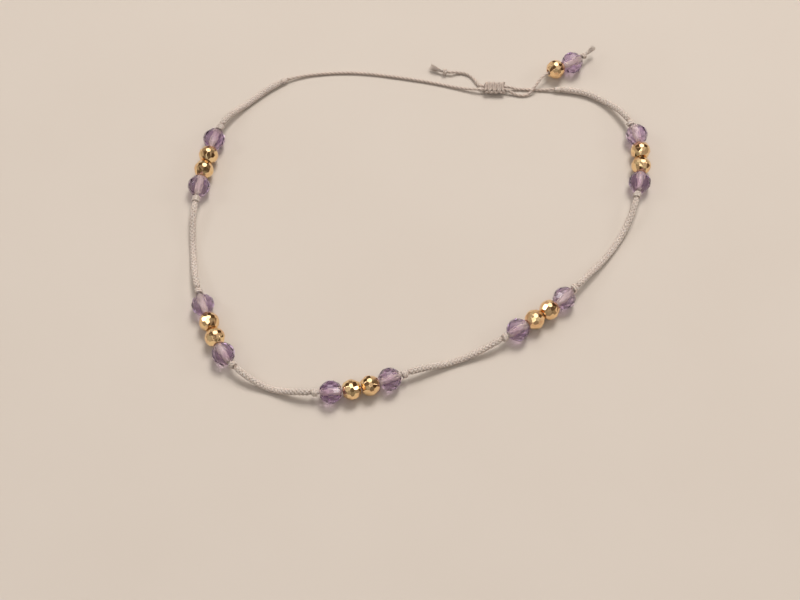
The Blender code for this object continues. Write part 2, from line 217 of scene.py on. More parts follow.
def tight_curve(points: Sequence[Sequence[float]], stations: int = 7) -> np.ndarray:
    """Run a centripetal curve through points, which stays close to them in tight turns.

    Args:
        points: Points in space.
        stations: How many stations it gets for each span.

    Returns:
        The stations, evenly spaced.
    """
    samples_per_span = 16
    knots = np.array([tuple(point) for point in points])
    padded = np.vstack([2 * knots[0] - knots[1], knots, 2 * knots[-1] - knots[-2]])
    samples = []
    for a, b, c, d in zip(padded, padded[1:], padded[2:], padded[3:]):
        first = np.linalg.norm(b - a) ** 0.5
        second = first + np.linalg.norm(c - b) ** 0.5
        third = second + np.linalg.norm(d - c) ** 0.5
        t = np.linspace(first, second, samples_per_span, endpoint=False)[:, None]
        ab = straight(t, 0.0, first, a, b)
        bc = straight(t, first, second, b, c)
        cd = straight(t, second, third, c, d)
        abc = straight(t, 0.0, second, ab, bc)
        bcd = straight(t, first, third, bc, cd)
        samples.append(straight(t, first, second, abc, bcd))
    line = np.vstack([*samples, knots[-1:]])
    marks = lengths_along(line)
    even = np.linspace(0.0, marks[-1], stations * (len(knots) - 1) + 1)
    return read_line(even, marks, line)


def straight(
    t: np.ndarray, low: float, high: float, start: np.ndarray, end: np.ndarray
) -> np.ndarray:
    """Run straight from a start, where t is low, to an end, where t is high."""
    return (high - t) / (high - low) * start + (t - low) / (high - low) * end


class Route:
    """A smooth line that is read by the length along it."""

    def __init__(
        self, points: Sequence[Sequence[float]], closed: bool = False, length: float | None = None
    ) -> None:
        """Sample the line.

        Args:
            points: Points that the line passes through.
            closed: Whether the line is a loop.
            length: Length to scale the line to; its own length if None.
        """
        samples = smooth_curve(points, closed)
        places = lengths_along(samples)
        self.scale = 1.0 if length is None else length / places[-1]
        self.samples = samples * self.scale
        self.places = places * self.scale
        self.length = float(self.places[-1])

    def at(self, places: np.ndarray | float) -> np.ndarray:
        """Positions at some lengths along the line."""
        return read_line(places, self.places, self.samples)

    def heading(self, places: np.ndarray | float) -> np.ndarray:
        """Unit directions at some lengths along the line."""
        reach = self.length / len(self.places)
        low = np.maximum(np.asarray(places) - reach, 0.0)
        high = np.minimum(np.asarray(places) + reach, self.length)
        return unit(self.at(high) - self.at(low))


@dataclass
class Guide:
    """A line of stations in space, each with a side and a lift direction across the line."""

    points: np.ndarray
    along: np.ndarray
    side: np.ndarray
    lift: np.ndarray = field(init=False)

    # Side direction that a facing guide starts from, and the distance from its core past which
    # the way out is sure
    FIRST_SIDE = np.array([0.3, 0.5, 1.0])
    SURE = 0.15 * MM

    def __post_init__(self) -> None:
        """Find the lift directions."""
        self.lift = np.cross(self.side, self.along)

    @classmethod
    def level(cls, points: np.ndarray) -> Guide:
        """Make a guide whose side directions stay level.

        Args:
            points: Stations of the line, one row each.

        Returns:
            The guide, its sides pointing to the right of the way it runs.
        """
        along = unit(np.gradient(points, axis=0))
        side = np.stack([along[:, 1], -along[:, 0], np.zeros(len(points))], -1)
        return cls(points, along, unit(side))

    @classmethod
    def facing(cls, points: np.ndarray, core: np.ndarray) -> Guide:
        """Make a guide whose side directions point away from a core.

        Args:
            points: Stations of the line, one row each.
            core: Point of the core for each station.

        Returns:
            The guide; close to the core, each side follows on from the one before it.
        """
        along = unit(np.gradient(points, axis=0))
        side = np.empty_like(points)
        kept = cls.FIRST_SIDE
        for i, ahead in enumerate(along):
            kept = unit(across(kept, ahead))
            side[i] = kept
        out = across(points - core, along)
        size = np.linalg.norm(out, axis=1, keepdims=True)
        trust = np.clip(size / cls.SURE, 0.0, 1.0)
        mixed = side * (1 - trust) + out / np.maximum(size, 1e-9) * trust
        return cls(points, along, unit(across(mixed, along)))

    def wound(self, angle: np.ndarray, radius: np.ndarray | float) -> Guide:
        """Wind a new line round this one.

        Args:
            angle: Angle from the side direction towards the lift direction, at each station.
            radius: Distance from this line at each station.

        Returns:
            The new line, whose side directions point away from this one.
        """
        out = self.side * np.cos(angle)[:, None] + self.lift * np.sin(angle)[:, None]
        points = self.points + out * np.broadcast_to(radius, angle.shape)[:, None]
        along = unit(np.gradient(points, axis=0))
        return Guide(points, along, unit(across(out, along)))

    def lengths(self) -> np.ndarray:
        """Length from the first station to each one."""
        return lengths_along(self.points)


@dataclass(frozen=True)
class Yarn:
    """Section of a thread: plies twisted together, drawn as a round with as many lobes.

    Attributes:
        width: Size across the thread's side direction.
        height: Size along the thread's side direction, away from what it winds round.
        plies: How many plies are twisted together.
        groove: Depth of the groove between plies, as a share of the radius.
        lay: Length in which the plies turn once.
        corners: How many corners the section has.
    """

    width: float
    height: float
    plies: int = 1
    groove: float = 0.0
    lay: float = 1.0 * MM
    corners: int = 10


class Skein:
    """Threads that are swept along guides and joined into one piece."""

    # Rings that round an end, and how much of the quarter turn they make
    CAP_RINGS = 3
    CAP_TURN = 0.96 * math.pi / 2
    # Painted shade: how dark the groove between plies is painted, and the cord depth painted
    # darkest
    GROOVE_SHADE = 0.5
    DARKEST = 0.6

    def __init__(self) -> None:
        """Start with no thread."""
        self.vertices: list[np.ndarray] = []
        self.faces: list[list[int]] = []
        self.corners: list[tuple[float, float]] = []
        self.painted_shade: list[np.ndarray] = []
        self.count = 0

    def add(
        self,
        guide: Guide,
        yarn: Yarn,
        scale: np.ndarray | float = 1.0,
        core: np.ndarray | None = None,
        reach: float = 1.0,
        phase: float = 0.0,
    ) -> None:
        """Sweep a thread with rounded ends along a guide.

        Args:
            guide: The line that the thread follows.
            yarn: The thread's section.
            scale: Size of the section at each station, as a share.
            core: Middle of the cord or knot that the thread is part of, at each station; None
                for a thread by itself.
            reach: Outer radius of that cord or knot, where its painted shade fades out.
            phase: Angle of the first ply at the first station.
        """
        last = len(guide.points) - 1
        scale = np.broadcast_to(scale, (last + 1,)).astype(float)
        bend = np.linspace(self.CAP_TURN, 0.0, self.CAP_RINGS, endpoint=False)
        cap = np.sin(bend) * min(yarn.width, yarn.height) / 2
        stations = np.vstack([
            guide.points[0] - guide.along[0] * (cap * scale[0])[:, None],
            guide.points,
            guide.points[last] + guide.along[last] * (cap[::-1] * scale[last])[:, None],
        ])
        scale = np.concatenate([np.cos(bend) * scale[0], scale, np.cos(bend[::-1]) * scale[last]])
        picks = np.clip(np.arange(len(stations)) - self.CAP_RINGS, 0, last)
        side, lift = guide.side[picks], guide.lift[picks]
        lengths = lengths_along(stations)
        angles = np.arange(yarn.corners) * TURN / yarn.corners
        turned = yarn.plies * (angles[None, :] - TURN * lengths[:, None] / yarn.lay - phase)
        size = (1 + yarn.groove * (np.cos(turned) - 1)) * scale[:, None]
        rings = (
            stations[:, None, :]
            + side[:, None, :] * (size * np.cos(angles) * yarn.height / 2)[..., None]
            + lift[:, None, :] * (-size * np.sin(angles) * yarn.width / 2)[..., None]
        )
        # Painted shade: the groove between plies gets a darker colour
        painted_shade = self.GROOVE_SHADE * (1 - np.cos(turned)) / 2 * (yarn.plies > 1)
        # Painted shade: corners nearer the middle of their cord or knot get a darker colour
        if core is not None:
            deep = 1 - np.linalg.norm(rings - core[picks][:, None, :], axis=2) / reach
            painted_shade = np.maximum(painted_shade, deep / self.DARKEST)
        self._stitch(rings, lengths / MM, np.clip(painted_shade, 0, 1))

    def _stitch(self, rings: np.ndarray, places: np.ndarray, painted_shade: np.ndarray) -> None:
        """Join rings into a closed tube.

        Args:
            rings: Corner positions, by station and corner.
            places: Length along the thread at each ring, in millimetres.
            painted_shade: How much painted shade each corner gets, from 0 for none to 1 for
                darkest.
        """
        total, corners = rings.shape[:2]
        for i, (low, high) in enumerate(zip(places, places[1:])):
            base = self.count + i * corners
            for j in range(corners):
                k = (j + 1) % corners
                self.faces.append([base + j, base + corners + j, base + corners + k, base + k])
                left, right = j / corners, (j + 1) / corners
                self.corners += [(left, low), (left, high), (right, high), (right, low)]
        first = [self.count + j for j in range(corners)]
        last = [self.count + (total - 1) * corners + j for j in reversed(range(corners))]
        for ring, place in ((first, places[0]), (last, places[-1])):
            self.faces.append(ring)
            self.corners += [(j / corners, place) for j in range(corners)]
        self.vertices.append(rings.reshape(-1, 3))
        self.painted_shade.append(painted_shade.reshape(-1))
        self.count += total * corners

    def to_object(self, name: str) -> bpy.types.Object:
        """Make the mesh piece.

        Args:
            name: The piece's name.

        Returns:
            The piece, with a UV map "thread" and an attribute "hollow".
        """
        mesh = bpy.data.meshes.new(name)
        mesh.from_pydata(np.vstack(self.vertices).tolist(), [], self.faces)
        layer = mesh.uv_layers.new(name="thread")
        layer.data.foreach_set("uv", np.array(self.corners, dtype=np.float32).ravel())
        values = mesh.attributes.new("painted_shade", "FLOAT", "POINT")
        values.data.foreach_set("value", np.concatenate(self.painted_shade).astype(np.float32))
        mesh.polygons.foreach_set("use_smooth", np.ones(len(mesh.polygons), dtype=bool))
        mesh.update()
        return add_object(name, mesh)


class Nodes:
    """The nodes of a material or of the world."""

    def __init__(self, owner: bpy.types.Material | bpy.types.World) -> None:
        """Start from the nodes that the owner is made with."""
        owner.use_nodes = True
        self.tree = owner.node_tree
        self.coordinates = self.add("TexCoord").outputs

    def add(self, kind: str, inputs: Inputs | None = None, **settings: Any) -> bpy.types.Node:
        """Add a node with its settings and links.

        Args:
            kind: The node's type, without the word ShaderNode.
            inputs: What goes into it, as feed takes it.
            settings: Properties of the node.

        Returns:
            The new node.
        """
        made = self.tree.nodes.new("ShaderNode" + kind)
        for name, value in settings.items():
            setattr(made, name, value)
        self.feed(made, inputs or {})
        return made

    def feed(self, node: bpy.types.Node, inputs: Inputs) -> None:
        """Set or link a node's inputs.

        Args:
            node: The node.
            inputs: By name or index of each input, its value, the output to link it from, or
                the node whose first output in use it is linked from.
        """
        for name, value in inputs.items():
            if isinstance(value, bpy.types.Node):
                value = next(output for output in value.outputs if output.enabled)
            if isinstance(value, bpy.types.NodeSocket):
                self.tree.links.new(value, node.inputs[name])
            else:
                node.inputs[name].default_value = value


@dataclass(frozen=True)
class Finish:
    """A material that is drawn in nodes."""

    name: str

    def build(self) -> bpy.types.Material:
        """Make the material.

        Returns:
            The finish as a material.
        """
        made = bpy.data.materials.new(self.name)
        nodes = Nodes(made)
        nodes.feed(nodes.tree.nodes["Principled BSDF"], self.dress(nodes))
        return made

    def dress(self, nodes: Nodes) -> Inputs:
        """Add the finish's nodes.

        Args:
            nodes: The material's nodes.

        Returns:
            What goes into the shader.
        """
        raise NotImplementedError


@dataclass(frozen=True)
class WaxedPolyester(Finish):
    """Waxed polyester thread, spun from fine filaments: soft shine, faint lines along each ply.

    Attributes:
        crown: Colour where the thread stands proud.
        painted_shade: Colour of the painted shade between the plies and strands and deep in the
            cord.
        filaments: Bundles of filaments round a thread; real ones are far finer, so that they
            still show in the render they are drawn about 0.1 mm apart.
        lean: Turns of the filaments round the thread in a millimetre.
        bends: Size of the bends in the filaments.
        fuzz: Size of the loose fibres that roughen the surface.
        patches: Size of the patches where the wax lies thicker.
        roughness: Mean roughness; the wax lowers it from about 0.8 for plain polyester.
    """

    crown: str
    painted_shade: str
    filaments: float = 12.0
    lean: float = 1.4
    bends: float = 1.1 * MM
    fuzz: float = 0.12 * MM
    patches: float = 4.0 * MM
    roughness: float = 0.58

    def dress(self, nodes: Nodes) -> Inputs:
        """Draw the filaments, the fuzz, the wax and the painted shade in the hollows.

        Args:
            nodes: The material's nodes.

        Returns:
            What goes into the shader.
        """
        place = nodes.coordinates["Object"]
        wander = nodes.add("TexNoise", {"Vector": place, "Scale": 1 / self.bends, "Detail": 2.0})
        fuzz = nodes.add("TexNoise", {"Vector": place, "Scale": 1 / self.fuzz, "Detail": 3.0})
        wax = nodes.add("TexNoise", {"Vector": place, "Scale": 1 / self.patches, "Detail": 2.0})
        chart = nodes.add("SeparateXYZ", {0: nodes.add("UVMap", uv_map="thread")}).outputs
        round_it = {0: chart["X"], 1: self.filaments, 2: wander}
        phase = {
            0: chart["Y"], 1: self.lean * self.filaments,
            2: nodes.add("Math", round_it, operation="MULTIPLY_ADD"),
        }
        angle = {0: nodes.add("Math", phase, operation="MULTIPLY_ADD"), 1: TURN}
        lines = nodes.add(
            "Math", {0: nodes.add("Math", angle, operation="MULTIPLY")}, operation="SINE"
        )
        # Painted shade: a darker colour in the grooves and deep in the cord, read from the mesh's
        # shade attribute
        deep = nodes.add("Attribute", attribute_name="painted_shade").outputs["Fac"]
        depth = nodes.add(
            "MapRange", {"Value": deep, "From Min": 0.08, "From Max": 0.95},
            interpolation_type="SMOOTHSTEP",
        )
        base = nodes.add(
            "Mix", {"Factor": depth, MIX_LOW: linear(self.crown), MIX_HIGH: linear(self.painted_shade)},
            data_type="RGBA",
        )
        tone = nodes.add(
            "MapRange", {"Value": wax, **NOISE_RANGE, "To Min": 0.9, "To Max": 1.07}
        )
        streak = nodes.add("Math", {0: lines, 1: 0.06, 2: tone}, operation="MULTIPLY_ADD")
        relief = nodes.add("Math", {0: fuzz, 1: 1.2, 2: lines}, operation="MULTIPLY_ADD")
        return {
            "Base Color": nodes.add("VectorMath", {0: base, "Scale": streak}, operation="SCALE"),
            "Roughness": nodes.add("MapRange", {
                "Value": fuzz, **NOISE_RANGE,
                "To Min": self.roughness - 0.1, "To Max": self.roughness + 0.12,
            }),
            "Normal": nodes.add(
                "Bump", {"Strength": 0.6, "Distance": 0.012 * MM, "Height": relief}
            ),
            "IOR": 1.5,
            "Sheen Weight": 0.25,
            "Sheen Roughness": 0.45,
            "Subsurface Weight": 0.12,
            "Subsurface Radius": (1.0, 0.7, 0.5),
            "Subsurface Scale": 0.15 * MM,
        }


@dataclass(frozen=True)
class Amethyst(Finish):
    """Pale amethyst, violet quartz, ground and polished: clear glassy facets with a soft haze.

    Its bore is left as the drill ground it, so the walls read as a pale matt streak through the
    stone.  The violet comes from light lost on its way through the stone.

    Attributes:
        pale: Tint of the clear zones.
        deep: Tint of the violet zones.
        chalk: Colour of the bore's walls.
        through: Colour that is left of white light inside the stone.
        density: How fast the rest of it is lost.
        zones: Size of the zones of colour.
        scratches: Size of the marks that polishing leaves.
        polish: Roughness of the facets.
        ground: Roughness of the bore's walls.
    """

    name: str = "polished_amethyst"
    pale: str = "#FAF6FB"
    deep: str = "#E2D0EC"
    chalk: str = "#FFF6DE"
    through: str = "#D1A5DE"
    density: float = 240.0
    zones: float = 2.2 * MM
    scratches: float = 0.35 * MM
    polish: float = 0.015
    ground: float = 0.6

    def dress(self, nodes: Nodes) -> Inputs:
        """Draw the zones of colour, the polish, the chalky bore and the violet inside.

        Args:
            nodes: The material's nodes.

        Returns:
            What goes into the shader.
        """
        place = nodes.coordinates["Object"]
        zones = nodes.add("TexNoise", {
            "Vector": place, "Scale": 1 / self.zones, "Detail": 2.0, "Distortion": 0.4,
        })
        spread = nodes.add(
            "MapRange", {"Value": zones, "From Min": 0.36, "From Max": 0.66},
            interpolation_type="SMOOTHSTEP",
        )
        tint = nodes.add(
            "Mix", {"Factor": spread, MIX_LOW: linear(self.pale), MIX_HIGH: linear(self.deep)},
            data_type="RGBA",
        )
        bore = nodes.add("Attribute", attribute_name="drilled").outputs["Fac"]
        marks = nodes.add(
            "TexNoise", {"Vector": place, "Scale": 1 / self.scratches, "Detail": 3.0}
        )
        loss = nodes.add(
            "VolumeAbsorption", {"Color": linear(self.through), "Density": self.density}
        )
        nodes.feed(nodes.tree.nodes["Material Output"], {"Volume": loss})
        return {
            "Base Color": nodes.add(
                "Mix", {"Factor": bore, MIX_LOW: tint, MIX_HIGH: linear(self.chalk)},
                data_type="RGBA",
            ),
            "Roughness": nodes.add(
                "MapRange", {"Value": bore, "To Min": self.polish, "To Max": self.ground}
            ),
            "Transmission Weight": nodes.add(
                "MapRange", {"Value": bore, "To Min": 0.96, "To Max": 0.1}
            ),
            "Normal": nodes.add(
                "Bump", {"Strength": 0.15, "Distance": 0.006 * MM, "Height": marks}
            ),
            "IOR": 1.544,
        }


@dataclass(frozen=True)
class DiamondCutGold(Finish):
    """Gold plate over brass, cut with a diamond tool: mirror facets with fine tool lines.

    Attributes:
        bright: Colour of the plating.
        warm: Colour where the plating is thin and the brass warms it, as in the bore.
        plating: Size of the patches of thinner plating.
        tool_lines: Spacing of the tool's lines.
        roughness: Mean roughness.
    """

    name: str = "diamond_cut_gold"
    bright: str = "#FDE0AC"
    warm: str = "#E8AA80"
    plating: float = 0.9 * MM
    tool_lines: float = 0.08 * MM
    roughness: float = 0.09

    def dress(self, nodes: Nodes) -> Inputs:
        """Draw the plating and the tool's lines.

        Args:
            nodes: The material's nodes.

        Returns:
            What goes into the shader.
        """
        place = nodes.coordinates["Object"]
        plating = nodes.add("TexNoise", {"Vector": place, "Scale": 1 / self.plating, "Detail": 2.0})
        lines = nodes.add(
            "TexNoise", {"Vector": place, "Scale": 1 / self.tool_lines, "Detail": 2.0}
        )
        spread = nodes.add("MapRange", {"Value": plating, "From Min": 0.35, "From Max": 0.7})
        bore = nodes.add("Attribute", attribute_name="drilled").outputs["Fac"]
        thin = nodes.add(
            "Math", {0: spread, 1: 0.55, 2: bore}, operation="MULTIPLY_ADD", use_clamp=True
        )
        return {
            "Base Color": nodes.add(
                "Mix",
                {"Factor": thin, MIX_LOW: linear(self.bright), MIX_HIGH: linear(self.warm)},
                data_type="RGBA",
            ),
            "Roughness": nodes.add("MapRange", {
                "Value": lines, **NOISE_RANGE,
                "To Min": self.roughness - 0.02, "To Max": self.roughness + 0.04,
            }),
            "Normal": nodes.add(
                "Bump", {"Strength": 0.1, "Distance": 0.0006 * MM, "Height": lines}
            ),
            "Metallic": 1.0,
        }


@dataclass(frozen=True)
class MattePaper(Finish):
    """Pale warm backdrop paper: quite matt, with the faintest mottle."""

    name: str = "backdrop_paper"
    light: str = "#D0C8C0"
    dark: str = "#CBC2B9"
    mottle: float = 30 * MM

    def dress(self, nodes: Nodes) -> Inputs:
        """Draw the mottle.

        Args:
            nodes: The material's nodes.

        Returns:
            What goes into the shader.
        """
        place = nodes.coordinates["Object"]
        mottle = nodes.add("TexNoise", {"Vector": place, "Scale": 1 / self.mottle, "Detail": 3.0})
        return {
            "Base Color": nodes.add(
                "Mix",
                {"Factor": mottle, MIX_LOW: linear(self.light), MIX_HIGH: linear(self.dark)},
                data_type="RGBA",
            ),
            "Roughness": 0.85,
            "Specular IOR Level": 0.3,
        }


@dataclass
class Layout:
    """Sizes that place the pieces, and the lines that they lie on."""

    loop_length: float = 186.0 * MM
    end_cord_length: float = 12.5 * MM
    group_shares: tuple[float, ...] = (0.2678, 0.4136, 0.5435, 0.6872, 0.8490)
    amethyst_diameter: float = 3.0 * MM
    amethyst_length: float = 2.85 * MM
    gold_diameter: float = 2.7 * MM
    gold_length: float = 2.35 * MM
    cord_diameter: float = 0.95 * MM
    thread_diameter: float = 0.45 * MM
    knot_diameter: float = 1.3 * MM
    knot_length: float = 1.1 * MM
    sleeve_length: float = 3.2 * MM
    sleeve_width: float = 1.92 * MM
    sleeve_height: float = 1.35 * MM
    end_knot_diameter: float = 1.1 * MM
    end_knot_length: float = 1.0 * MM
    fray_diameter: float = 1.0 * MM
    fray_length: float = 1.9 * MM
    bead_gap: float = 0.15 * MM
    threads_gap: float = 0.12 * MM
    floor_clearance: float = 0.05 * MM
    crossing_gap: float = 0.25 * MM
    settle_length: float = 6.0 * MM
    thread_settle_length: float = 4.0 * MM
    thread_spread_length: float = 6.0 * MM
    closing_points: int = 12
    loop: Route = field(init=False)
    shift: np.ndarray = field(init=False)

    def __post_init__(self) -> None:
        """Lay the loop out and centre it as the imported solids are."""
        plan = [(x * MM, y * MM) for x, y in ROUTE_POINTS]
        self.loop = Route(plan, closed=True, length=self.loop_length)
        self.shift = np.zeros(3)
        low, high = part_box("sliding_knot")
        self.shift[:2] = np.array((low + high) / 2)[:2] - self.loop_points(0.0)[:2]

    @property
    def middles(self) -> list[float]:
        """Places of the middles of the five groups of beads along the loop."""
        return [share * self.loop_length for share in self.group_shares]

    @property
    def gold_place(self) -> float:
        """Middle of a gold bead, from its group's middle."""
        return (self.bead_gap + self.gold_length) / 2

    @property
    def amethyst_place(self) -> float:
        """Middle of an amethyst, from its group's middle."""
        return self.gold_place + (self.gold_length + self.amethyst_length) / 2 + self.bead_gap

    @property
    def knot_place(self) -> float:
        """Middle of a cord knot, from its group's middle."""
        return self.amethyst_place + (self.amethyst_length + self.knot_length) / 2 + self.bead_gap

    @property
    def cord_start(self) -> float:
        """Start of the braid, from its group's middle."""
        return self.knot_place + self.knot_length / 2 + self.bead_gap

    @property
    def cord_ends(self) -> tuple[float, float]:
        """Places where the braid gives way to the closing thread, on the left and right."""
        reach = self.cord_start + self.end_cord_length
        return self.middles[0] - reach, self.middles[-1] + reach

    @property
    def bead_height(self) -> float:
        """Height of a bead's axis."""
        return self.amethyst_diameter / 2

    @property
    def thread_height(self) -> float:
        """Height of a closing thread's axis where it lies on the floor."""
        return self.thread_diameter / 2 + self.floor_clearance

    @property
    def mouth(self) -> float:
        """Place just outside the sliding knot."""
        return self.sleeve_length / 2 + self.bead_gap

    def stations(self) -> list[tuple[float, float]]:
        """List the heights of the cord's axis.

        Returns:
            Places along the loop with the height at each; between two the height is eased.
        """
        middles, start, end, mouth = self.middles, self.cord_start, self.loop_length, self.mouth
        left, right = self.cord_ends
        cord_height = self.cord_diameter / 2 + self.floor_clearance
        sleeve_height = self.sleeve_height / 2 + self.floor_clearance
        made = [
            (0.0, sleeve_height),
            (mouth, sleeve_height),
            (mouth + self.thread_settle_length, self.thread_height),
            (left - self.thread_settle_length, self.thread_height),
            (left, cord_height),
            (middles[0] - start - self.settle_length, cord_height),
            (middles[0] - start, self.bead_height),
            (middles[0] + start, self.bead_height),
        ]
        for before, middle in zip(middles, middles[1:]):
            made.append(((before + middle) / 2, cord_height))
            made.append((middle - start, self.bead_height))
            made.append((middle + start, self.bead_height))
        return made + [
            (middles[-1] + start + self.settle_length, cord_height),
            (right, cord_height),
            (right + mouth, self.thread_height),
            (end - 2 * mouth, self.thread_height),
            (end - mouth, sleeve_height),
            (end, sleeve_height),
        ]

    def heights(self, places: np.ndarray | float) -> np.ndarray:
        """Heights of the cord's axis at some places along the loop."""
        marks, levels = np.array(self.stations()).T
        pick = np.clip(np.searchsorted(marks, places, side="right") - 1, 0, len(marks) - 2)
        share = eased((places - marks[pick]) / (marks[pick + 1] - marks[pick]))
        return levels[pick] + (levels[pick + 1] - levels[pick]) * share

    def loop_points(
        self, places: np.ndarray | float, offset: np.ndarray | float = 0.0
    ) -> np.ndarray:
        """Find points on the loop.

        Args:
            places: Lengths along the loop from the middle of the sliding knot.
            offset: How far each point moves out of the loop.

        Returns:
            The point at each place.
        """
        ahead = self.loop.heading(places)
        out = np.stack([ahead[..., 1], -ahead[..., 0]], -1) * np.asarray(offset)[..., None]
        heights = np.asarray(self.heights(places))[..., None]
        return np.concatenate([self.loop.at(places) + out, heights], -1) + self.shift

    def loop_guide(self, low: float, high: float, step: float) -> Guide:
        """Guide along a stretch of the loop, with stations about a step apart."""
        places = np.linspace(low, high, max(3, round((high - low) / step) + 1))
        return Guide.level(self.loop_points(places))

    def loop_frame(self, place: float) -> Matrix:
        """Placement of a piece modelled along its own Z, laid along the loop."""
        return laid(self.loop_points(place), self.loop.heading(place))

    def free_end(self, side: Side) -> list[tuple[float, float, float]]:
        """Lay out what a closing thread does past the sliding knot.

        Args:
            side: Side of the slot; the inner thread ends on the right, the outer on the left.

        Returns:
            Points in plan, in millimetres, with heights in metres.
        """
        low = self.thread_height
        high = self.bead_height
        if side is Side.INNER:
            over = low + self.thread_diameter + self.crossing_gap
            return [
                (16.9, 33.7, low), (18.3, 33.6, low), (19.6, 34.6, over), (20.8, 36.1, high),
                (22.9, 37.4, high), (25.3, 38.6, high), (27.0, 39.8, high), (28.6, 41.4, high),
            ]
        high = self.end_knot_diameter / 2 + self.floor_clearance
        return [
            (11.3, 35.6, low), (10.4, 36.9, low), (8.9, 37.6, low),
            (7.5, 37.5, high), (6.1, 37.7, high), (4.4, 38.6, high),
        ]

    def closing_route(self, side: Side) -> Route:
        """Lay out a closing thread: along the loop, through the sliding knot, to its free end.

        Args:
            side: Side of the slot; the inner thread comes from the left, the outer from the
                right.

        Returns:
            The thread's whole line.
        """
        inner = side is Side.INNER
        inward = 1 if inner else -1
        near = (0.0 if inner else self.loop_length) + inward * self.mouth
        far = self.cord_ends[0 if inner else 1] - inward * self.bead_gap
        places = np.linspace(far, near, self.closing_points)
        spread = eased((self.thread_spread_length - abs(places - near)) / self.thread_spread_length)
        points = self.loop_points(places, side.value * self.thread_offset * spread)
        middle = self.loop_points(0.0, side.value * self.thread_offset)
        run = np.append(self.loop.heading(0.0), 0.0) * self.mouth * inward
        points[-1] = middle + run
        plan_scale = MM * self.loop.scale
        free = [
            np.array([x * plan_scale, y * plan_scale, height]) + self.shift
            for x, y, height in self.free_end(side)
        ]
        return Route([*points, middle, middle - run, *free])

    @property
    def thread_offset(self) -> float:
        """Distance of each closing thread from the middle of the sliding knot's slot."""
        return (self.thread_diameter + self.threads_gap) / 2

    def tail_places(self, route: Route) -> tuple[float, float, float, float]:
        """Find what sits on a closing thread's free end.

        Args:
            route: The thread's line.

        Returns:
            Places of the thread's end, the end knot's middle, the amethyst and the gold bead.
        """
        end = route.length - self.end_knot_length - self.fray_length - self.bead_gap
        knot = end + self.bead_gap + self.end_knot_length / 2
        stone = end - self.amethyst_length / 2
        gold = stone - (self.amethyst_length + self.gold_length) / 2 - self.bead_gap
        return end, knot, stone, gold


def laid(point: np.ndarray, ahead: np.ndarray) -> Matrix:
    """Placement that lays local Z along a level direction and keeps local X upright.

    Args:
        point: Where the piece's middle goes.
        ahead: The direction; its height is left out.

    Returns:
        The placement as a matrix.
    """
    up = Vector(UP)
    along = Vector((ahead[0], ahead[1], 0.0)).normalized()
    turn = Matrix((up, along.cross(up), along)).transposed()
    return Matrix.Translation(Vector(point)) @ turn.to_4x4()


def hand_in(
    piece: bpy.types.Object, material: bpy.types.Material, node: str
) -> None:
    """Give a piece its material and its place in the frame.

    Args:
        piece: The finished piece.
        material: Its material.
        node: The solid that the piece stands for.
    """
    piece.data.materials.clear()
    piece.data.materials.append(material)
    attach(piece, BODY)
    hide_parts(node)
    LOG.info("%s: %d faces, stands for %s", piece.name, len(piece.data.polygons), node)


